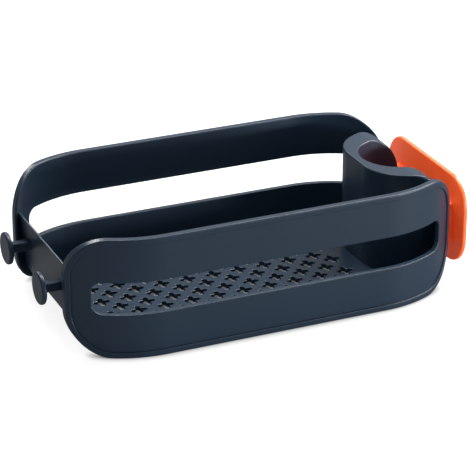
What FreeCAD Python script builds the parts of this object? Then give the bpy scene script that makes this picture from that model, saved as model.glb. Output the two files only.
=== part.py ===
"""Kitchen sink caddy: a sponge basket that hangs on a faucet, with a pull-out clamp plate.

Frame, in millimetres: X runs along the basket towards the faucet, Y towards the back panel, Z up.
The origin is under the middle of the basket, on the surface that it stands on.
"""
import FreeCAD, Part
import Sketcher
import os
from math import acos, asin, ceil, cos, floor, hypot, radians, sin, sqrt, tan
from types import SimpleNamespace

Vector = FreeCAD.Vector

SIZES = {
    # Whole object
    "overall_length": 228.0,
    "basket_width": 120.0,
    "basket_height": 63.0,
    # Side panels: a straight middle with both ends bent inward, and a lip along the whole edge
    "panel_setback": 9.1,
    "bend_radius": 60.0,
    "bend_angle": 49.0,
    "panel_wall": 3.0,
    "lip_proud": 0.8,
    "lip_width": 3.2,
    "lip_end_width": 2.6,
    "corner_run": 19.5,
    "corner_rise": 22.5,
    "rim_round": 0.7,
    "lip_round": 0.5,
    "window_setback": 10.9,
    "window_height": 17.0,
    "window_corner": 4.6,
    "window_round": 0.5,
    "ledge_setback": 29.9,
    "ledge_width": 2.4,
    # Floor, and the one clearance and tongue depth of all the joints
    "floor_bottom": 1.2,
    "floor_thickness": 2.4,
    "joint_clearance": 0.1,
    "tongue_depth": 1.4,
    # Plus-shaped drain holes in staggered rows
    "hole_span": 8.6,
    "hole_arm": 2.7,
    "hole_pitch": 14.4,
    "row_pitch": 7.8,
    "hole_margin": 3.0,
    # End wall with the two hooks
    "wall_thickness": 1.1,
    "wall_setback": 2.7,
    "wall_drop": 19.5,
    "wall_lean": 6.0,
    "wall_bend": 16.0,
    "wall_tongue_height": 22.0,
    "wall_round": 0.4,
    # Hooks
    "hook_spacing": 50.2,
    "hook_drop": 12.9,
    "head_diameter": 16.8,
    "head_thickness": 2.6,
    "head_round": 1.0,
    "stem_width": 4.4,
    "stem_height": 4.8,
    "stem_round": 0.6,
    "socket_depth": 0.6,
    # Faucet saddle
    "saddle_wall": 1.8,
    "recess_radius": 20.0,
    "recess_setback": 10.8,
    "saddle_proud": 1.3,
    "saddle_drop": 4.4,
    "saddle_run": 19.0,
    "saddle_rise": 22.6,
    "nose_wall": 4.0,
    "nose_margin": 2.7,
    "nose_round": 23.0,
    "shoulder_setback": 5.6,
    "shoulder_width": 13.5,
    "hollow_start": 14.0,
    "shoulder_round": 20.0,
    "saddle_round": 0.7,
    "web_setback": 3.6,
    "web_rise": 13.0,
    "web_drop": 17.0,
    # Clamp plate with its two arms
    "plate_width": 85.0,
    "plate_bottom": 5.5,
    "plate_drop": 9.4,
    "plate_thickness": 2.4,
    "plate_corner": 16.0,
    "plate_round": 0.9,
    "arm_width": 7.6,
    "arm_rise": 11.5,
    "arm_height": 21.0,
    "arm_round": 0.5,
    "arm_reach": 14.0,
    "arm_clearance": 0.3,
    # Cuts run past the solid by this much
    "overrun": 2.0,
}

# Expressions that more than one sketch or feature uses
HOOK_Z = "(dims.basket_height - dims.wall_drop - dims.hook_drop)"
SADDLE_END = "(dims.overall_length / 2 - dims.panel_setback + dims.saddle_proud)"
ARM_MIDDLE = "(dims.recess_radius + dims.shoulder_width / 2)"

doc = FreeCAD.newDocument("sink_caddy")
sheet = doc.addObject("Spreadsheet::Sheet", "dims")


def fill_sheet():
    """Write every driving size into the sheet under its own alias, and read the values back."""
    for row, (name, value) in enumerate(SIZES.items(), start=1):
        sheet.set(f"A{row}", name)
        sheet.set(f"B{row}", str(value))
        sheet.setAlias(f"B{row}", name)
    doc.recompute()
    return SimpleNamespace(**{name: float(sheet.get(name)) for name in SIZES})


size = fill_sheet()

half_width = size.basket_width / 2
half_overall = size.overall_length / 2
bend = radians(size.bend_angle)
lean = radians(size.wall_lean)
quarter_turn = radians(90)
rim = size.panel_wall + size.lip_proud
panel_end = half_overall - size.panel_setback
half_straight = panel_end - size.bend_radius * sin(bend)
floor_top = size.floor_bottom + size.floor_thickness
window_half = panel_end - size.window_setback
window_bottom = (size.basket_height - size.window_height) / 2
window_top = window_bottom + size.window_height
wall_top = size.basket_height - size.wall_drop
hook_z = wall_top - size.hook_drop
recess_x = panel_end - size.recess_setback
floor_end = recess_x - size.saddle_wall
saddle_end = panel_end + size.saddle_proud
saddle_top = size.basket_height - size.saddle_drop
saddle_half = size.recess_radius + size.shoulder_width
nose_x = recess_x - size.recess_radius - size.nose_wall
nose_half = size.recess_radius + size.nose_margin
shoulder_x = recess_x - size.shoulder_setback
web_x = panel_end - size.web_setback
web_top = size.basket_height - size.web_drop
arm_middle = size.recess_radius + size.shoulder_width / 2
arm_inner = arm_middle - size.arm_width / 2
arm_outer = arm_middle + size.arm_width / 2
arm_bottom = size.plate_bottom + size.arm_rise


def line(start, end):
    return Part.LineSegment(start, end).toShape()


def arc(start, middle, end):
    return Part.Arc(start, middle, end).toShape()


def closed_face(edges):
    return Part.Face(Part.Wire(Part.__sortEdges__(edges)))


def prism(face, bottom, top):
    """Upright solid of a plan face between two heights."""
    solid = face.extrude(Vector(0, 0, top - bottom))
    solid.translate(Vector(0, 0, bottom))
    return solid


def block(low, high):
    return Part.makeBox(high[0] - low[0], high[1] - low[1], high[2] - low[2], Vector(*low))


def mirrored_y(shape):
    return shape.mirror(Vector(0, 0, 0), Vector(0, 1, 0))


def plan_face(inset):
    """Plan of the whole basket inside its lip faces, drawn in by inset, with the bends run on."""
    radius = size.bend_radius - inset
    centre_y = size.bend_radius - half_width
    run_on = min(asin(min((panel_end - half_straight + 2 * rim) / radius, sin(2 * bend))),
                 acos(max((centre_y + rim) / radius, 0)))
    reach = half_straight + radius * sin(run_on)
    end_y = centre_y - radius * cos(run_on)
    side_y = inset - half_width
    edges = []
    for sign in (1, -1):
        bend_start = Vector(half_straight, sign * side_y, 0)
        bend_end = Vector(reach, sign * end_y, 0)
        bend_middle = Vector(half_straight + radius * sin(run_on / 2),
                             sign * (centre_y - radius * cos(run_on / 2)), 0)
        edges.append(arc(bend_start, bend_middle, bend_end))
        edges.append(arc(*(Vector(-p.x, p.y, 0) for p in (bend_start, bend_middle, bend_end))))
        edges.append(line(Vector(-half_straight, sign * side_y, 0), bend_start))
    for end in (reach, -reach):
        edges.append(line(Vector(end, end_y, 0), Vector(end, -end_y, 0)))
    return closed_face(edges)


def inside(inset):
    """Solid that fills the basket's plan, drawn in by inset, and runs past it above and below."""
    return prism(plan_face(inset), -size.overrun, size.basket_height + size.overrun)


def elevation_solid(side_inset, edge_inset):
    """Rounded side view of the panels, drawn in at the ends and along the edges, across the basket."""
    half = panel_end - side_inset
    top = size.basket_height - edge_inset
    run = size.corner_run - side_inset
    rise = size.corner_rise - edge_inset
    corners = [elliptic_corner(Vector(sign * (half - run), 0, centre_z), sign * run, z_run)
               for sign in (1, -1) for centre_z, z_run in ((top - rise, rise), (edge_inset + rise, -rise))]
    edges = [corner.edge for corner in corners]
    edges.append(line(corners[0].at_edge, corners[2].at_edge))
    edges.append(line(corners[1].at_edge, corners[3].at_edge))
    edges.append(line(corners[0].at_end, corners[1].at_end))
    edges.append(line(corners[2].at_end, corners[3].at_end))
    return across(edges)


def elliptic_corner(centre, run, rise):
    """Quarter of an upright ellipse, from run along X to rise along Z, with its two end points."""
    at_end = centre + Vector(run, 0, 0)
    at_edge = centre + Vector(0, 0, rise)
    middle = centre + Vector(run, 0, rise) * sqrt(0.5)
    long_point, short_point = sorted((at_end, at_edge), key=lambda p: -(p - centre).Length)
    ellipse = Part.Ellipse(long_point, short_point, centre)
    first = ellipse.parameter(at_end)
    last = ellipse.parameter(at_edge)
    quarter = Part.ArcOfEllipse(ellipse, min(first, last), max(first, last))
    if quarter.toShape().distToShape(Part.Vertex(middle))[0] > size.joint_clearance:
        quarter = Part.ArcOfEllipse(ellipse, max(first, last), min(first, last))
    return SimpleNamespace(edge=quarter.toShape(), at_end=at_end, at_edge=at_edge)


def across(edges):
    """Side view, given by its edges, swept across the whole basket."""
    face = closed_face(edges)
    face.translate(Vector(0, -size.basket_width, 0))
    return face.extrude(Vector(0, 2 * size.basket_width, 0))


def window_solid():
    """Long rounded window, cut straight across the basket."""
    bar = block((-window_half, -size.basket_width, window_bottom),
                (window_half, size.basket_width, window_top))
    corners = [e for e in bar.Edges if e.BoundBox.YLength > size.basket_width]
    return bar.makeFillet(size.window_corner, corners)


def on_outline(edge, inset):
    """Whether an edge lies on the basket's plan outline, drawn in by inset, and runs along its rim."""
    wire = plan_face(inset).OuterWire
    first, last = edge.ParameterRange
    for share in (0, 0.5, 1):
        point = edge.valueAt(first + share * (last - first))
        if wire.distToShape(Part.Vertex(point.x, point.y, 0))[0] > size.joint_clearance / 2:
            return False
    box = edge.BoundBox
    off_seam = abs(abs(box.Center.x) - half_straight)
    return max(box.XLength, off_seam) > size.joint_clearance


def in_window(edge):
    """Whether an edge lies on the window's outline."""
    box = edge.BoundBox
    slack = size.joint_clearance
    return (box.ZMin > window_bottom - slack and box.ZMax < window_top + slack
            and max(abs(box.XMin), abs(box.XMax)) < window_half + slack)


def on_lip(edge):
    """Whether an edge is the inner edge of the raised lip."""
    box = edge.BoundBox
    return (max(abs(box.XMin), abs(box.XMax)) < panel_end - size.lip_end_width / 2
            and box.ZMin > size.lip_width / 2 and box.ZMax < size.basket_height - size.lip_width / 2)


def wall_band(grow):
    """Side view of the end wall, swept across: it leans out, and bends into the floor."""
    top_outer = Vector(size.wall_setback - panel_end, 0, wall_top)
    centre_z = floor_top - size.wall_thickness + size.wall_bend
    foot_z = centre_z - size.wall_bend * sin(lean)
    foot_x = top_outer.x + (wall_top - foot_z) * tan(lean)
    centre = Vector(foot_x + size.wall_bend * cos(lean), 0, centre_z)
    outer = size.wall_bend + grow
    inner = size.wall_bend - size.wall_thickness - grow
    out = Vector(-cos(lean), 0, -sin(lean))
    up = Vector(-sin(lean), 0, cos(lean))
    rise = (wall_top - foot_z) / cos(lean) + grow
    middle = (out + Vector(0, 0, -1)).normalize()
    ends = []
    edges = []
    for radius in (outer, inner):
        bend_top = centre + out * radius
        bend_end = centre + Vector(0, 0, -radius)
        edges.append(line(bend_top + up * rise, bend_top))
        edges.append(arc(bend_top, centre + middle * radius, bend_end))
        ends.append((bend_top + up * rise, bend_end))
    edges.append(line(ends[0][0], ends[1][0]))
    edges.append(line(ends[0][1], ends[1][1]))
    face = closed_face(edges)
    face.translate(Vector(0, -half_width, 0))
    return face.extrude(Vector(0, size.basket_width, 0)), centre.x


def wall_tongue(grow):
    """Stretch of the leaning wall that is let into the panels."""
    band, foot = wall_band(grow)
    low = wall_top - size.wall_round - size.wall_tongue_height - grow
    high = wall_top - size.wall_round - size.wall_thickness + grow
    return band.common(block((-half_overall, -half_width, low), (foot, half_width, high)))


def saddle_webs(grow):
    """Upright webs from the saddle's shoulders to the panels, which are let into the panels."""
    web = block((web_x - size.saddle_wall - grow, saddle_half - size.saddle_wall, size.web_rise - grow),
                (web_x + grow, half_width, web_top + grow))
    return Part.makeCompound([web, mirrored_y(web)])


def recess_solid(offset, bottom, top):
    """Upright faucet recess, grown by offset: half round, and then straight out through the saddle's end."""
    radius = size.recess_radius + offset
    far = saddle_end + size.overrun
    edges = [arc(*(Vector(recess_x + x, y, 0) for x, y in ((0, radius), (-radius, 0), (0, -radius))))]
    edges += [line(Vector(recess_x, side, 0), Vector(far, side, 0)) for side in (radius, -radius)]
    edges.append(line(Vector(far, radius, 0), Vector(far, -radius, 0)))
    return prism(closed_face(edges), bottom, top)


def saddle_corners(inset):
    """Front nose, shoulder and end corners of the saddle's plan, drawn in by inset."""
    slant = Vector(shoulder_x - nose_x, nose_half - saddle_half, 0).normalize()
    start = Vector(nose_x, -nose_half, 0) + Vector(-slant.y, slant.x, 0) * inset
    side = inset - saddle_half
    nose = start + slant * ((nose_x + inset - start.x) / slant.x)
    shoulder = start + slant * ((side - start.y) / slant.y)
    return nose, shoulder, Vector(saddle_end - inset, side, 0)


def mirrored_prism(half, rounds, bottom, top):
    """Upright solid on a plan given by its front half, with some of its corners rounded."""
    points = half + [Vector(p.x, -p.y, 0) for p in reversed(half)]
    solid = prism(Part.Face(Part.makePolygon(points + points[:1])), bottom, top)
    for at, radius in rounds:
        edges = [e for e in solid.Edges if e.BoundBox.ZLength > (top - bottom) / 2
                 and hypot(e.CenterOfMass.x - at.x, abs(e.CenterOfMass.y) + at.y) < size.joint_clearance]
        solid = solid.makeFillet(radius, edges)
    return solid


def saddle_profile(inset, low):
    """Side view of the saddle from low up, drawn in by inset, with its end rounded off, across the basket."""
    end = saddle_end - inset
    top = saddle_top - inset
    run = size.saddle_run - inset
    rise = size.saddle_rise - inset
    back = nose_x - size.overrun
    upper = elliptic_corner(Vector(end - run, 0, top - rise), run, rise)
    lower = elliptic_corner(Vector(end - run, 0, low + rise), run, -rise)
    edges = [upper.edge, lower.edge, line(upper.at_end, lower.at_end)]
    edges.append(line(upper.at_edge, Vector(back, 0, top)))
    edges.append(line(lower.at_edge, Vector(back, 0, low)))
    edges.append(line(Vector(back, 0, top), Vector(back, 0, low)))
    return across(edges)


def saddle_collar():
    """Solid collar round the recess: blunt nose, slanted shoulders, and rounded ends, with soft edges."""
    nose, shoulder, end = saddle_corners(0)
    rounds = ((nose, size.nose_round), (shoulder, size.shoulder_round))
    profile = saddle_profile(0, floor_top)
    collar = mirrored_prism([nose, shoulder, end], rounds, floor_top, saddle_top).common(profile)
    collar = collar.cut(recess_solid(0, -size.overrun, size.basket_height)).removeSplitter()
    return collar.makeFillet(size.saddle_round, [e for e in collar.Edges if on_profile(e, profile)])


def on_profile(edge, profile):
    """Whether an edge follows the saddle's side view, over its top and down its end."""
    first, last = edge.ParameterRange
    middle = Part.Vertex(edge.valueAt((first + last) / 2))
    box = edge.BoundBox
    return (box.ZMax > floor_top + size.joint_clearance
            and max(box.XLength, box.ZLength) > size.joint_clearance
            and profile.Shells[0].distToShape(middle)[0] < size.joint_clearance)


def shoulder_cavity():
    """Hollow of both shoulders, open below, inside the outer walls and the recess wall."""
    bottom = floor_top - size.overrun
    nose, shoulder, end = saddle_corners(size.saddle_wall)
    hollow = mirrored_prism([nose, shoulder, end], ((nose, size.nose_round - size.saddle_wall),), bottom,
                            saddle_top)
    hollow = hollow.common(saddle_profile(size.saddle_wall, bottom - size.basket_height))
    hollow = hollow.cut(recess_solid(size.saddle_wall, bottom - size.overrun, size.basket_height))
    keep = block((nose_x, size.hollow_start, bottom), (saddle_end, saddle_half, saddle_top))
    return hollow.common(Part.makeCompound([keep, mirrored_y(keep)]))


def make_panel():
    """Front panel: bent wall, raised lip, window, floor ledge, and grooves for the cross pieces."""
    front = block((-half_overall, -size.basket_width, -size.overrun),
                  (half_overall, 0, size.basket_height + size.overrun))
    shell = inside(0).cut(inside(rim)).common(front)
    panel = shell.common(elevation_solid(0, 0)).removeSplitter()
    rims = [e for e in panel.Edges if on_outline(e, 0) or on_outline(e, rim)]
    panel = panel.makeFillet(size.rim_round, rims)
    panel = panel.cut(elevation_solid(size.lip_end_width, size.lip_width).cut(inside(size.lip_proud)))
    panel = panel.makeFillet(size.lip_round, [e for e in panel.Edges if on_outline(e, 0) and on_lip(e)])
    panel = panel.cut(window_solid())
    panel = panel.makeFillet(size.window_round, [e for e in panel.Edges if in_window(e)
                                                 and (on_outline(e, size.lip_proud) or on_outline(e, rim))])
    ledge_half = panel_end - size.ledge_setback
    ledge = inside(rim).cut(inside(rim + size.ledge_width)).common(
        block((-ledge_half, -half_width, 0), (ledge_half, 0, size.floor_bottom)))
    groove = inside(rim - size.tongue_depth - size.joint_clearance)
    for tongue in (wall_tongue(size.joint_clearance), saddle_webs(size.joint_clearance)):
        panel = panel.cut(tongue.common(groove))
    return panel.fuse(ledge).removeSplitter()


def make_floor_blank():
    """Floor plate between the panels, from the end wall's foot to the middle of the recess."""
    foot = wall_band(0)[1] + size.joint_clearance
    slab = block((foot, -half_width, size.floor_bottom), (floor_end, half_width, floor_top))
    slab = slab.common(inside(rim + size.joint_clearance))
    slab = slab.common(elevation_solid(size.floor_bottom, size.floor_bottom))
    return slab.cut(recess_solid(0, -size.overrun, size.basket_height))


def cross_face(x, y):
    """Plus-shaped hole with round arm ends, centred on a point of the floor."""
    half = size.hole_arm / 2
    reach = size.hole_span / 2 - half
    edges = []
    for turn in range(4):
        angle = turn * quarter_turn
        along = Vector(cos(angle), sin(angle), 0)
        aside = Vector(-sin(angle), cos(angle), 0)
        at = Vector(x, y, size.floor_bottom - size.overrun)
        low = at + along * reach - aside * half
        high = at + along * reach + aside * half
        edges.append(arc(low, at + along * (reach + half), high))
        edges.append(line(at + along * half - aside * half, low))
        edges.append(line(at + along * half + aside * half, high))
    return closed_face(edges)


def make_drain_holes():
    """All drain holes: rows along X, every other row moved by half a pitch."""
    foot = wall_band(0)[1]
    edge = size.hole_span / 2 + size.hole_margin
    rows = floor((half_width - rim - edge) / size.row_pitch)
    depth = Vector(0, 0, size.floor_thickness + 2 * size.overrun)
    holes = []
    for row in range(-rows, rows + 1):
        shift = (row % 2) * size.hole_pitch / 2
        first = ceil((foot + edge - shift) / size.hole_pitch)
        last = floor((nose_x - edge - shift) / size.hole_pitch)
        for step in range(first, last + 1):
            holes.append(cross_face(step * size.hole_pitch + shift, row * size.row_pitch).extrude(depth))
    return Part.makeCompound(holes)


def make_end_wall():
    """Leaning cross wall with its curved foot, its tongues and the two hook sockets."""
    wall = wall_band(0)[0].common(inside(rim + size.joint_clearance))
    top_edges = [e for e in wall.Edges if e.BoundBox.ZMin > wall_top - size.wall_thickness
                 and e.BoundBox.YLength > half_width]
    wall = wall.makeFillet(size.wall_round, top_edges)
    tongues = wall_tongue(0).common(inside(rim - size.tongue_depth))
    return wall.fuse(tongues).removeSplitter().cut(hook_sockets())


def stem_end():
    """How far in the hook stems reach, at the middle of their height."""
    return size.wall_setback - panel_end + size.hook_drop * tan(lean) + size.socket_depth


def hook_sockets():
    """Blind holes that take the hook stems."""
    half = size.stem_width / 2 + size.joint_clearance
    rise = size.stem_height / 2 + size.joint_clearance
    sockets = [block((-half_overall, sign * size.hook_spacing / 2 - half, hook_z - rise),
                     (stem_end() + size.joint_clearance, sign * size.hook_spacing / 2 + half,
                      hook_z + rise)) for sign in (1, -1)]
    return Part.makeCompound(sockets)


def make_saddle():
    """Saddle shell: collar round the recess, hollow shoulders, arm slots, and webs let into the panels."""
    shape = saddle_collar().common(inside(rim + size.joint_clearance))
    webs = saddle_webs(0).common(inside(rim - size.tongue_depth))
    shape = shape.fuse(webs).removeSplitter()
    slot = block((recess_x, arm_inner - size.arm_clearance, arm_bottom - size.arm_clearance),
                 (half_overall, arm_outer + size.arm_clearance,
                  arm_bottom + size.arm_height + size.arm_clearance))
    return shape.cut(shoulder_cavity()).cut(Part.makeCompound([slot, mirrored_y(slot)]))


def add_solid(name, shape):
    """Document object whose shape is worked out here from the sheet's values."""
    item = doc.addObject("Part::Feature", name)
    item.Shape = shape
    item.Placement = FreeCAD.Placement()
    return item


def origin_plane(body, role):
    return next(f for f in body.Origin.OriginFeatures if f.Role == role)


def new_sketch(body, name, role, offset):
    """Sketch on one of the body's own planes, moved along its normal by an expression."""
    sketch = body.newObject("Sketcher::SketchObject", name)
    sketch.AttachmentSupport = (origin_plane(body, role), "")
    sketch.MapMode = "FlatFace"
    sketch.setExpression("AttachmentOffset.Base.z", offset)
    return sketch


def polygon(sketch, corners):
    """Closed run of lines through (value, expression) pairs, each corner held by its expressions."""
    first = sketch.GeometryCount
    count = len(corners)
    points = [Vector(x[0], y[0], 0) for x, y in corners]
    for index in range(count):
        sketch.addGeometry(Part.LineSegment(points[index], points[(index + 1) % count]), False)
    for index in range(count):
        after = first + (index + 1) % count
        sketch.addConstraint(Sketcher.Constraint("Coincident", first + index, 2, after, 1))
    for index, (x, y) in enumerate(corners):
        for kind, (value, expression) in (("DistanceX", x), ("DistanceY", y)):
            held = sketch.addConstraint(Sketcher.Constraint(kind, -1, 1, first + index, 1, value))
            sketch.setExpression(f"Constraints[{held}]", expression)


def edge_names(shape, wanted):
    return [f"Edge{i}" for i, edge in enumerate(shape.Edges, start=1) if wanted(edge)]


def add_fillet(body, name, base, edges, radius):
    """Fillet on the named edges of a feature, with its radius bound to the sheet."""
    fillet = body.newObject("PartDesign::Fillet", name)
    fillet.Base = (base, edges)
    fillet.setExpression("Radius", radius)
    doc.recompute()
    return fillet


def make_hook(name, sign):
    """Hook: disc head with rounded edges, on a bar stem that ends in the wall's socket."""
    body = doc.addObject("PartDesign::Body", name)
    head_sketch = new_sketch(body, f"{name}_head_circle", "YZ_Plane", "-dims.overall_length / 2")
    centre = Vector(sign * size.hook_spacing / 2, hook_z, 0)
    head_sketch.addGeometry(Part.Circle(centre, Vector(0, 0, 1), size.head_diameter / 2), False)
    holds = (("DistanceX", centre.x, f"{sign} * dims.hook_spacing / 2"),
             ("DistanceY", centre.y, HOOK_Z))
    for kind, value, expression in holds:
        held = head_sketch.addConstraint(Sketcher.Constraint(kind, -1, 1, 0, 3, value))
        head_sketch.setExpression(f"Constraints[{held}]", expression)
    held = head_sketch.addConstraint(Sketcher.Constraint("Diameter", 0, size.head_diameter))
    head_sketch.setExpression(f"Constraints[{held}]", "dims.head_diameter")
    head = body.newObject("PartDesign::Pad", f"{name}_head")
    head.Profile = head_sketch
    head.setExpression("Length", "dims.head_thickness")
    doc.recompute()
    rims = edge_names(head.Shape, lambda e: abs(e.Length - size.head_diameter * radians(180)) < e.Length / 2
                      and e.BoundBox.XLength < size.joint_clearance)
    rounded = add_fillet(body, f"{name}_head_round", head, rims, "dims.head_round")
    stem_sketch = new_sketch(body, f"{name}_stem_outline", "YZ_Plane",
                             "-dims.overall_length / 2 + dims.head_thickness / 2")
    stem_corners = []
    for side, level in ((-1, -1), (1, -1), (1, 1), (-1, 1)):
        stem_corners.append(((centre.x + side * size.stem_width / 2,
                              f"{sign} * dims.hook_spacing / 2 + {side} * dims.stem_width / 2"),
                             (centre.y + level * size.stem_height / 2,
                              f"{HOOK_Z} + {level} * dims.stem_height / 2")))
    polygon(stem_sketch, stem_corners)
    stem = body.newObject("PartDesign::Pad", f"{name}_stem")
    stem.BaseFeature = rounded
    stem.Profile = stem_sketch
    stem.setExpression("Length", "dims.panel_setback + dims.wall_setback + dims.socket_depth"
                       " + dims.hook_drop * tan(dims.wall_lean) - dims.head_thickness / 2")
    doc.recompute()
    long_edges = edge_names(stem.Shape, lambda e: e.BoundBox.XLength > size.head_thickness * 2)
    body.Tip = add_fillet(body, f"{name}_stem_round", stem, long_edges, "dims.stem_round")
    return body


def make_clamp():
    """Clamp plate: rounded plate outside the recess, with two arms for the shoulders."""
    body = doc.addObject("PartDesign::Body", "clamp_plate")
    plate_sketch = new_sketch(body, "plate_outline", "YZ_Plane",
                              "dims.overall_length / 2 - dims.plate_thickness")
    low = (size.plate_bottom, "dims.plate_bottom")
    high = (size.basket_height - size.plate_drop, "dims.basket_height - dims.plate_drop")
    polygon(plate_sketch, [((side * size.plate_width / 2, f"{side} * dims.plate_width / 2"), level)
                           for side, level in ((-1, low), (1, low), (1, high), (-1, high))])
    plate = body.newObject("PartDesign::Pad", "plate")
    plate.Profile = plate_sketch
    plate.setExpression("Length", "dims.plate_thickness")
    doc.recompute()
    corners = edge_names(plate.Shape, lambda e: e.BoundBox.XLength > size.plate_thickness / 2)
    rounded = add_fillet(body, "plate_corners", plate, corners, "dims.plate_corner")
    rims = edge_names(rounded.Shape, lambda e: e.BoundBox.XLength < size.joint_clearance)
    softened = add_fillet(body, "plate_rims", rounded, rims, "dims.plate_round")
    arm_sketch = new_sketch(body, "arm_outlines", "XY_Plane", "dims.plate_bottom + dims.arm_rise")
    tip = f"({SADDLE_END} - dims.arm_reach)"
    tip_x = saddle_end - size.arm_reach
    inner = f"({ARM_MIDDLE} - dims.arm_width / 2)"
    outer = f"({ARM_MIDDLE} + dims.arm_width / 2)"
    root = "(dims.overall_length / 2 - dims.plate_thickness / 2)"
    root_x = half_overall - size.plate_thickness / 2
    for sign in (1, -1):
        polygon(arm_sketch, [
            ((root_x, root), (sign * arm_inner, f"{sign} * {inner}")),
            ((tip_x, tip), (sign * arm_inner, f"{sign} * {inner}")),
            ((tip_x, tip), (sign * arm_outer, f"{sign} * {outer}")),
            ((root_x, root), (sign * arm_outer, f"{sign} * {outer}"))])
    arms = body.newObject("PartDesign::Pad", "arms")
    arms.BaseFeature = softened
    arms.Profile = arm_sketch
    arms.setExpression("Length", "dims.arm_height")
    doc.recompute()
    long_edges = edge_names(arms.Shape, lambda e: e.BoundBox.XMax < half_overall - size.plate_thickness / 2
                            and e.BoundBox.XLength > size.arm_width / 2)
    body.Tip = add_fillet(body, "arm_edges", arms, long_edges, "dims.arm_round")
    return body


def build():
    """Make every sub-part and return them by name."""
    parts = {"front_panel": add_solid("front_panel", make_panel())}
    back = doc.addObject("Part::Mirroring", "back_panel")
    back.Source = parts["front_panel"]
    back.Normal = Vector(0, 1, 0)
    parts["back_panel"] = back
    pierced = doc.addObject("Part::Cut", "drain_floor")
    pierced.Base = add_solid("floor_blank", make_floor_blank())
    pierced.Tool = add_solid("drain_holes", make_drain_holes())
    parts["drain_floor"] = pierced
    parts["end_wall"] = add_solid("end_wall", make_end_wall())
    parts["faucet_saddle"] = add_solid("faucet_saddle", make_saddle())
    parts["front_hook"] = make_hook("front_hook", -1)
    parts["rear_hook"] = make_hook("rear_hook", 1)
    parts["clamp_plate"] = make_clamp()
    return parts


def check(parts):
    """Stop if any object failed to build or any sub-part isn't one valid solid."""
    for item in doc.Objects:
        if "Invalid" in item.State or "Error" in item.State:
            raise RuntimeError(f"{item.Name} failed: {item.State}")
    for name, item in parts.items():
        shape = item.Shape
        if shape.isNull() or not shape.isValid() or len(shape.Solids) != 1:
            raise RuntimeError(f"{name}: {len(shape.Solids)} solids, valid {shape.isValid()}")


parts = build()
doc.recompute()
check(parts)
os.makedirs("parts", exist_ok=True)
for name, item in parts.items():
    item.Label = name
    item.Shape.exportStep(f"parts/{name}.step")
    box = item.Shape.BoundBox
    print(f"{name}: volume {item.Shape.Volume:.0f}, X {box.XMin:.1f} to {box.XMax:.1f}, "
          f"Y {box.YMin:.1f} to {box.YMax:.1f}, Z {box.ZMin:.1f} to {box.ZMax:.1f}")
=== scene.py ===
"""Looks of the kitchen sink caddy: moulded plastic finishes, softened drain holes, studio and camera.

Every length is in metres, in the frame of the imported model: X runs along the basket towards the faucet,
Y towards the back panel and Z up, with the origin under the middle of the basket.
"""

import logging
import math
from dataclasses import dataclass
from enum import Enum

import bmesh
import bpy
from mathutils import Matrix, Vector


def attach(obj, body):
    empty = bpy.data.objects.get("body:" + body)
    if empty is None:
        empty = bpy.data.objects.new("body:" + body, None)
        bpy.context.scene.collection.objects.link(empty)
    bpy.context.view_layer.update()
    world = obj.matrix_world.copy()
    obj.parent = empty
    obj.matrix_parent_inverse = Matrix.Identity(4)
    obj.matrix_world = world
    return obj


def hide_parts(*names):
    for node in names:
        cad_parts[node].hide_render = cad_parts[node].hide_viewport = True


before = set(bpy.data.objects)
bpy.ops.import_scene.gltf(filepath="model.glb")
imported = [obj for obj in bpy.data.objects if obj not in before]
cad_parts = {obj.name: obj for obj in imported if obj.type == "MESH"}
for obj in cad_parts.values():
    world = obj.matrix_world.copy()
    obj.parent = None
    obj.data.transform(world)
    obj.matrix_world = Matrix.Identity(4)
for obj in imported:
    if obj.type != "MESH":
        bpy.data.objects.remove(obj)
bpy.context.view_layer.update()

log = logging.getLogger("sink_caddy")

MM = 0.001
ROUND_PROFILE = 0.5
PLASTIC_IOR = 1.49
WHITE = 1.0

# Noise of the moulded surface: octaves and their falloff, the band of the grain that the
# roughness spans, and the share of the pits in its height.
MOTTLE_DETAIL, MOTTLE_FALLOFF = 3.0, 0.55
GRAIN_DETAIL, GRAIN_FALLOFF = 2.0, 0.6
GRAIN_LOW, GRAIN_HIGH = 0.3, 0.7
PIT_SHARE = 0.6

Triple = tuple[float, float, float]


class Body(Enum):
    """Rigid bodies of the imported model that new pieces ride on."""

    CADDY = "caddy"


class Slot(Enum):
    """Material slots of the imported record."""

    SLATE = "slate_plastic"


class NodeTree:
    """Thin helper that adds and links shader nodes in one tree."""

    def __init__(self, tree: bpy.types.NodeTree) -> None:
        """Keep the tree that nodes go into.

        Args:
            tree: node tree of a material, a world or a node group.
        """
        self.tree = tree

    def add(self, kind: str, **values: object) -> bpy.types.Node:
        """Add a node and set its properties and input values.

        Args:
            kind: Blender's type name of the node.
            values: properties by attribute name, or input values by socket name with
                spaces as underscores.

        Returns:
            The new node.
        """
        node = self.tree.nodes.new(kind)
        for name, value in values.items():
            if hasattr(node, name):
                setattr(node, name, value)
            else:
                node.inputs[name.replace("_", " ")].default_value = value
        return node

    def link(self, source: bpy.types.NodeSocket, target: bpy.types.NodeSocket) -> None:
        """Link an output socket to an input socket."""
        self.tree.links.new(source, target)


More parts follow.
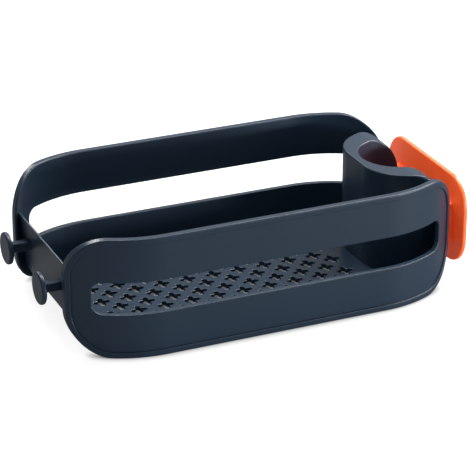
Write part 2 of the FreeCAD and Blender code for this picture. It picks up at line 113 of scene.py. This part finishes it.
def moulded_surface_group() -> bpy.types.ShaderNodeTree:
    """Build the shared look of a spark-eroded moulding: mottle, roughness and fine grain.

    Returns:
        A shader node group with colour, roughness and height outputs.
    """
    group = bpy.data.node_groups.new("moulded_surface", "ShaderNodeTree")
    face = group.interface
    sockets = (("Colour", "NodeSocketColor"), ("Shade", "NodeSocketColor"),
               ("Mottle Scale", "NodeSocketFloat"), ("Grain Scale", "NodeSocketFloat"),
               ("Rough Low", "NodeSocketFloat"), ("Rough High", "NodeSocketFloat"))
    for name, kind in sockets:
        face.new_socket(name, in_out="INPUT", socket_type=kind)
    for name, kind in (("Colour", "NodeSocketColor"), ("Roughness", "NodeSocketFloat"),
                       ("Height", "NodeSocketFloat")):
        face.new_socket(name, in_out="OUTPUT", socket_type=kind)
    nodes = NodeTree(group)
    inputs = nodes.add("NodeGroupInput")
    outputs = nodes.add("NodeGroupOutput")
    place = nodes.add("ShaderNodeTexCoord")
    mottle = nodes.add("ShaderNodeTexNoise", Detail=MOTTLE_DETAIL, Roughness=MOTTLE_FALLOFF)
    grain = nodes.add("ShaderNodeTexNoise", Detail=GRAIN_DETAIL, Roughness=GRAIN_FALLOFF)
    pits = nodes.add("ShaderNodeTexVoronoi", feature="SMOOTH_F1")
    blend = nodes.add("ShaderNodeMix", data_type="RGBA")
    rough = nodes.add("ShaderNodeMapRange", From_Min=GRAIN_LOW, From_Max=GRAIN_HIGH)
    height = nodes.add("ShaderNodeMath", operation="MULTIPLY_ADD")
    height.inputs[1].default_value = PIT_SHARE
    for texture, scale in ((mottle, "Mottle Scale"), (grain, "Grain Scale"), (pits, "Grain Scale")):
        nodes.link(place.outputs["Object"], texture.inputs["Vector"])
        nodes.link(inputs.outputs[scale], texture.inputs["Scale"])
    nodes.link(mottle.outputs["Fac"], blend.inputs["Factor"])
    nodes.link(inputs.outputs["Colour"], blend.inputs["A"])
    nodes.link(inputs.outputs["Shade"], blend.inputs["B"])
    nodes.link(blend.outputs["Result"], outputs.inputs["Colour"])
    nodes.link(grain.outputs["Fac"], rough.inputs["Value"])
    nodes.link(inputs.outputs["Rough Low"], rough.inputs["To Min"])
    nodes.link(inputs.outputs["Rough High"], rough.inputs["To Max"])
    nodes.link(rough.outputs["Result"], outputs.inputs["Roughness"])
    nodes.link(pits.outputs["Distance"], height.inputs[0])
    nodes.link(grain.outputs["Fac"], height.inputs[2])
    nodes.link(height.outputs["Value"], outputs.inputs["Height"])
    return group


@dataclass(frozen=True)
class MouldedPlastic:
    """Satin injection-moulded plastic with a fine eroded grain.

    Attributes:
        name: name of the material.
        colour: main colour, linear.
        shade: second colour of the faint mottle, linear.
        rough_low: least roughness.
        rough_high: most roughness.
        specular: level of the surface reflection, where 0.5 is that of smooth plastic.
        see_in: share of the light that goes into the plastic before it comes back.
        depth: how far that light travels inside.
        mottle_size: size of the mottle's patches.
        grain_size: size of the grain.
        grain_height: depth of the grain.
        grain_strength: how much the grain shows in the light.
    """

    name: str
    colour: Triple
    shade: Triple
    rough_low: float
    rough_high: float
    specular: float = 0.38
    see_in: float = 0.0
    depth: float = 3 * MM
    mottle_size: float = 22 * MM
    grain_size: float = 0.55 * MM
    grain_height: float = 0.05 * MM
    grain_strength: float = 0.35

    def build(self, surface: bpy.types.ShaderNodeTree) -> bpy.types.Material:
        """Make the material.

        Args:
            surface: shared node group of the moulded surface.

        Returns:
            The material, ready to assign.
        """
        material = bpy.data.materials.new(self.name)
        material.use_nodes = True
        material.node_tree.nodes.clear()
        nodes = NodeTree(material.node_tree)
        skin = nodes.add("ShaderNodeGroup", node_tree=surface)
        for name, value in (("Colour", (*self.colour, 1.0)), ("Shade", (*self.shade, 1.0)),
                            ("Mottle Scale", 1 / self.mottle_size), ("Grain Scale", 1 / self.grain_size),
                            ("Rough Low", self.rough_low), ("Rough High", self.rough_high)):
            skin.inputs[name].default_value = value
        bump = nodes.add("ShaderNodeBump", Strength=self.grain_strength, Distance=self.grain_height)
        shader = nodes.add("ShaderNodeBsdfPrincipled", IOR=PLASTIC_IOR,
                           Specular_IOR_Level=self.specular,
                           Subsurface_Weight=self.see_in, Subsurface_Scale=self.depth)
        output = nodes.add("ShaderNodeOutputMaterial")
        nodes.link(skin.outputs["Colour"], shader.inputs["Base Color"])
        nodes.link(skin.outputs["Roughness"], shader.inputs["Roughness"])
        nodes.link(skin.outputs["Height"], bump.inputs["Height"])
        nodes.link(bump.outputs["Normal"], shader.inputs["Normal"])
        nodes.link(shader.outputs["BSDF"], output.inputs["Surface"])
        return material


SLATE = MouldedPlastic("slate_satin_plastic", colour=(0.0080, 0.0192, 0.0362),
                       shade=(0.0095, 0.0220, 0.0404), rough_low=0.30, rough_high=0.38)
ORANGE = MouldedPlastic("orange_satin_plastic", colour=(0.96, 0.150, 0.034),
                        shade=(0.98, 0.163, 0.038), rough_low=0.30, rough_high=0.38,
                        specular=0.5, see_in=0.5)


@dataclass
class Moulding:
    """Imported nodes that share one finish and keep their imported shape.

    Attributes:
        material: the finish.
        nodes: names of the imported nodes.
    """

    material: bpy.types.Material
    nodes: tuple[str, ...]

    def build(self) -> None:
        """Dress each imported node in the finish."""
        for name in self.nodes:
            self.dress(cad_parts[name])
            log.info("dressed %s in %s", name, self.material.name)

    def dress(self, piece: bpy.types.Object) -> None:
        """Give a mesh object the finish as its only material.

        Args:
            piece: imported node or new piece.
        """
        piece.data.materials.clear()
        piece.data.materials.append(self.material)


@dataclass
class SidePanels(Moulding):
    """Front and back panels: bent walls with a raised lip and a long window."""

    nodes: tuple[str, ...] = ("front_panel", "back_panel")


@dataclass
class EndWall(Moulding):
    """Low cross wall that curves down into the floor, with its two hooks."""

    nodes: tuple[str, ...] = ("end_wall", "front_hook", "rear_hook")


@dataclass
class FaucetSaddle(Moulding):
    """U-shaped collar round the faucet recess."""

    nodes: tuple[str, ...] = ("faucet_saddle",)


@dataclass
class ClampPlate(Moulding):
    """Bright plate with two arms that slide into the saddle."""

    nodes: tuple[str, ...] = ("clamp_plate",)


@dataclass
class DrainFloor(Moulding):
    """Floor plate whose plus-shaped drain holes get softly rounded upper rims.

    Attributes:
        rim_round: size of the rounding along the upper rims of the holes.
        rim_segments: facets across the rounding.
        merge_reach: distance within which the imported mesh's corners are one.
        hole_reach: most that a hole measures along X or Y.
        flat_angle: angle in degrees under which neighbouring facets count as one plane.
        sharp_angle: angle in degrees from which an edge is shaded as sharp.
        level_share: upward share of a face's normal from which it is shaded as level.
        upright_share: upward share of a face's normal under which it counts as a hole's wall.
        upper_share: upward share of a face's normal from which it counts as the upper face.
    """

    nodes: tuple[str, ...] = ("drain_floor",)
    rim_round: float = 0.3 * MM
    rim_segments: int = 2
    merge_reach: float = 0.002 * MM
    hole_reach: float = 12 * MM
    flat_angle: float = 0.5
    sharp_angle: float = 50.0
    level_share: float = 0.999
    upright_share: float = 0.1
    upper_share: float = 0.9

    def build(self) -> None:
        """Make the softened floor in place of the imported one."""
        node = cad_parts[self.nodes[0]]
        bm = bmesh.new()
        bm.from_mesh(node.data)
        bmesh.ops.remove_doubles(bm, verts=bm.verts, dist=self.merge_reach)
        bmesh.ops.dissolve_limit(bm, angle_limit=math.radians(self.flat_angle), verts=bm.verts,
                                 edges=bm.edges)
        rims = self.hole_rims(bm)
        bmesh.ops.bevel(bm, geom=rims, offset=self.rim_round, offset_type="OFFSET",
                        segments=self.rim_segments, profile=ROUND_PROFILE, affect="EDGES", material=-1)
        for edge in bm.edges:
            edge.smooth = edge.calc_face_angle(math.pi) < math.radians(self.sharp_angle)
        for face in bm.faces:
            face.smooth = abs(face.normal.z) < self.level_share
        mesh = bpy.data.meshes.new("pierced_floor")
        bm.to_mesh(mesh)
        bm.free()
        piece = bpy.data.objects.new("pierced_floor", mesh)
        bpy.context.collection.objects.link(piece)
        self.dress(piece)
        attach(piece, Body.CADDY.value)
        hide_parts(*self.nodes)
        log.info("softened %d hole rim edges of %s", len(rims), piece.name)

    def hole_rims(self, bm: bmesh.types.BMesh) -> list[bmesh.types.BMEdge]:
        """Find the upper rims of the drain holes.

        Args:
            bm: merged floor, with its flat faces joined.

        Returns:
            The edges between the floor's upper face and the walls of the holes.
        """
        upright = {face for face in bm.faces if abs(face.normal.z) < self.upright_share}
        rims = []
        while upright:
            shell = [upright.pop()]
            for face in shell:
                for edge in face.edges:
                    for other in edge.link_faces:
                        if other in upright:
                            upright.remove(other)
                            shell.append(other)
            corners = [vert.co for face in shell for vert in face.verts]
            spans = [max(co[axis] for co in corners) - min(co[axis] for co in corners)
                     for axis in (0, 1)]
            if max(spans) < self.hole_reach:
                rims += [edge for face in shell for edge in face.edges
                         if any(other.normal.z > self.upper_share for other in edge.link_faces)]
        return rims


@dataclass
class Lamp:
    """One soft area lamp.

    Attributes:
        name: name of the lamp.
        place: where it stands.
        aim: point that it faces.
        width: size along its own X.
        height: size along its own Y.
        power: strength in watts.
    """

    name: str
    place: Triple
    aim: Triple
    width: float
    height: float
    power: float

    def build(self) -> None:
        """Make the lamp and turn it to its aim."""
        data = bpy.data.lights.new(self.name, "AREA")
        data.shape = "RECTANGLE"
        data.size = self.width
        data.size_y = self.height
        data.energy = self.power
        lamp = bpy.data.objects.new(self.name, data)
        lamp.location = self.place
        towards = Vector(self.aim) - Vector(self.place)
        lamp.rotation_euler = towards.to_track_quat("-Z", "Y").to_euler()
        bpy.context.collection.objects.link(lamp)


@dataclass
class Studio:
    """Pale floor, soft lamps and the camera of the photograph.

    Attributes:
        floor_reach: half the side of the floor.
        floor_tone: grey of the floor.
        floor_glow: white that the camera sees on top of the floor's own light.
        floor_bounce: white that the floor sends up to the object.
        contact_reach: how near the object has to be to shade the floor's glow.
        contact_samples: rays that look for the object from each point of the floor.
        ambient: strength of the world's light on the object.
        mirrored: share of the floor and the world that shows in reflections.
        camera_place: where the camera stands.
        camera_azimuth: how far the camera stands to the left of the front, in degrees.
        camera_elevation: how far it looks down, in degrees.
        focal_pixels: focal length in pixels of the picture.
        picture: side of the picture in pixels.
        sensor: width of the sensor in millimetres.
        lamps: the soft lamps around the object.
    """

    floor_reach: float = 4.0
    floor_tone: float = 0.25
    floor_glow: float = 0.85
    floor_bounce: float = 0.41
    contact_reach: float = 4 * MM
    contact_samples: int = 8
    ambient: float = 0.65
    mirrored: float = 0.3
    camera_place: Triple = (-0.4161, -0.9574, 0.5025)
    camera_azimuth: float = 23.58
    camera_elevation: float = 24.45
    focal_pixels: float = 2232.8
    picture: int = 470
    sensor: float = 36.0
    lamps: tuple[Lamp, ...] = (
        Lamp("top_box", (-0.03, 0.15, 0.75), (0.0, 0.0, 0.03), 0.2, 0.2, 3.0),
        Lamp("high_right_box", (0.75, 0.2, 0.8), (0.0, 0.0, 0.03), 0.5, 0.5, 15.0),
        Lamp("rim_box", (0.42, 0.25, 0.95), (0.0, 0.0, 0.03), 0.25, 0.25, 4.5),
        Lamp("low_right_box", (1.0, -0.35, 0.15), (0.05, 0.0, 0.03), 0.5, 0.3, 3.6),
        Lamp("low_front_strip", (0.8, -0.9, 0.06), (0.0, 0.0, 0.04), 0.5, 0.1, 12.0),
        Lamp("plate_fill", (-0.15, 0.5, 0.45), (0.1, 0.0, 0.04), 0.2, 0.2, 2.2),
        Lamp("backdrop_box", (0.9, 1.9, 0.95), (0.0, 0.0, 0.03), 2.4, 1.4, 5.5),
    )

    def build(self) -> None:
        """Make the floor, the world, the lamps and the camera."""
        self.make_floor()
        self.make_world()
        for lamp in self.lamps:
            lamp.build()
            log.info("lamp %s", lamp.name)
        self.make_camera()

    def level(self, nodes: NodeTree, seen: float, unseen: float) -> bpy.types.NodeSocket:
        """Strength of a surround that the camera sees whiter than it lights the object.

        Args:
            nodes: tree to add the nodes to.
            seen: strength for the camera.
            unseen: strength for every other ray.

        Returns:
            The strength's socket.
        """
        path = nodes.add("ShaderNodeLightPath")
        level = nodes.add("ShaderNodeMapRange", To_Min=unseen, To_Max=seen)
        nodes.link(path.outputs["Is Camera Ray"], level.inputs["Value"])
        return level.outputs["Result"]

    def dimmed(self, nodes: NodeTree, surround: bpy.types.NodeSocket) -> bpy.types.NodeSocket:
        """Dim a surround for reflections.

        Args:
            nodes: tree to add the nodes to.
            surround: shader of the floor or the world.

        Returns:
            The shader's socket, with only the mirrored share of it for glossy rays.
        """
        path = nodes.add("ShaderNodeLightPath")
        share = nodes.add("ShaderNodeMapRange", To_Min=1.0, To_Max=self.mirrored)
        mix = nodes.add("ShaderNodeMixShader")
        nodes.link(path.outputs["Is Glossy Ray"], share.inputs["Value"])
        nodes.link(share.outputs["Result"], mix.inputs["Fac"])
        nodes.link(surround, mix.inputs[2])
        return mix.outputs["Shader"]

    def make_floor(self) -> None:
        """Make the grey floor, with a white glow on top that fades where the object is near: a painted
        contact shadow.
        """
        bm = bmesh.new()
        bmesh.ops.create_grid(bm, x_segments=1, y_segments=1, size=self.floor_reach)
        mesh = bpy.data.meshes.new("studio_floor")
        bm.to_mesh(mesh)
        bm.free()
        floor = bpy.data.objects.new("studio_floor", mesh)
        bpy.context.collection.objects.link(floor)
        material = bpy.data.materials.new("studio_floor")
        material.use_nodes = True
        material.node_tree.nodes.clear()
        nodes = NodeTree(material.node_tree)
        grey = nodes.add("ShaderNodeBsdfDiffuse", Color=(self.floor_tone,) * 3 + (1.0,))
        glow = nodes.add("ShaderNodeEmission")
        both = nodes.add("ShaderNodeAddShader")
        output = nodes.add("ShaderNodeOutputMaterial")
        # Painted contact shadow: occlusion by the object darkens the floor's glow under and beside it.
        painted_contact_shade = nodes.add("ShaderNodeAmbientOcclusion", samples=self.contact_samples,
                             Distance=self.contact_reach)
        strength = nodes.add("ShaderNodeMath", operation="MULTIPLY")
        nodes.link(self.level(nodes, self.floor_glow, self.floor_bounce), strength.inputs[0])
        nodes.link(painted_contact_shade.outputs["AO"], strength.inputs[1])
        nodes.link(strength.outputs["Value"], glow.inputs["Strength"])
        nodes.link(grey.outputs["BSDF"], both.inputs[0])
        nodes.link(glow.outputs["Emission"], both.inputs[1])
        nodes.link(self.dimmed(nodes, both.outputs["Shader"]), output.inputs["Surface"])
        mesh.materials.append(material)

    def make_world(self) -> None:
        """Make the world: white where it is seen, and a plain soft light elsewhere."""
        world = bpy.data.worlds.new("studio_world")
        world.use_nodes = True
        world.node_tree.nodes.clear()
        nodes = NodeTree(world.node_tree)
        sky = nodes.add("ShaderNodeBackground")
        output = nodes.add("ShaderNodeOutputWorld")
        nodes.link(self.level(nodes, WHITE, self.ambient), sky.inputs["Strength"])
        nodes.link(self.dimmed(nodes, sky.outputs["Background"]), output.inputs["Surface"])
        bpy.context.scene.world = world

    def make_camera(self) -> None:
        """Make the camera at the photograph's place, angle and focal length."""
        azimuth = math.radians(self.camera_azimuth)
        elevation = math.radians(self.camera_elevation)
        right = Vector((math.cos(azimuth), -math.sin(azimuth), 0))
        ahead = Vector((math.sin(azimuth) * math.cos(elevation), math.cos(azimuth) * math.cos(elevation),
                        -math.sin(elevation)))
        up = right.cross(ahead)
        data = bpy.data.cameras.new("photo_camera")
        data.sensor_width = self.sensor
        data.lens = self.focal_pixels / self.picture * self.sensor
        camera = bpy.data.objects.new("photo_camera", data)
        turn = Matrix((right, up, -ahead)).transposed()
        camera.matrix_world = Matrix.Translation(self.camera_place) @ turn.to_4x4()
        bpy.context.collection.objects.link(camera)
        bpy.context.scene.camera = camera


def main() -> None:
    """Build and dress the sub-assemblies in order, then set up the studio around them."""
    logging.basicConfig(level=logging.INFO)
    bpy.context.scene.view_settings.view_transform = "Standard"
    surface = moulded_surface_group()
    slate = SLATE.build(surface)
    orange = ORANGE.build(surface)
    for moulding in (SidePanels(slate), DrainFloor(slate), EndWall(slate), FaucetSaddle(slate),
                     ClampPlate(orange)):
        moulding.build()
    Studio().build()


if __name__ == "__main__":
    main()
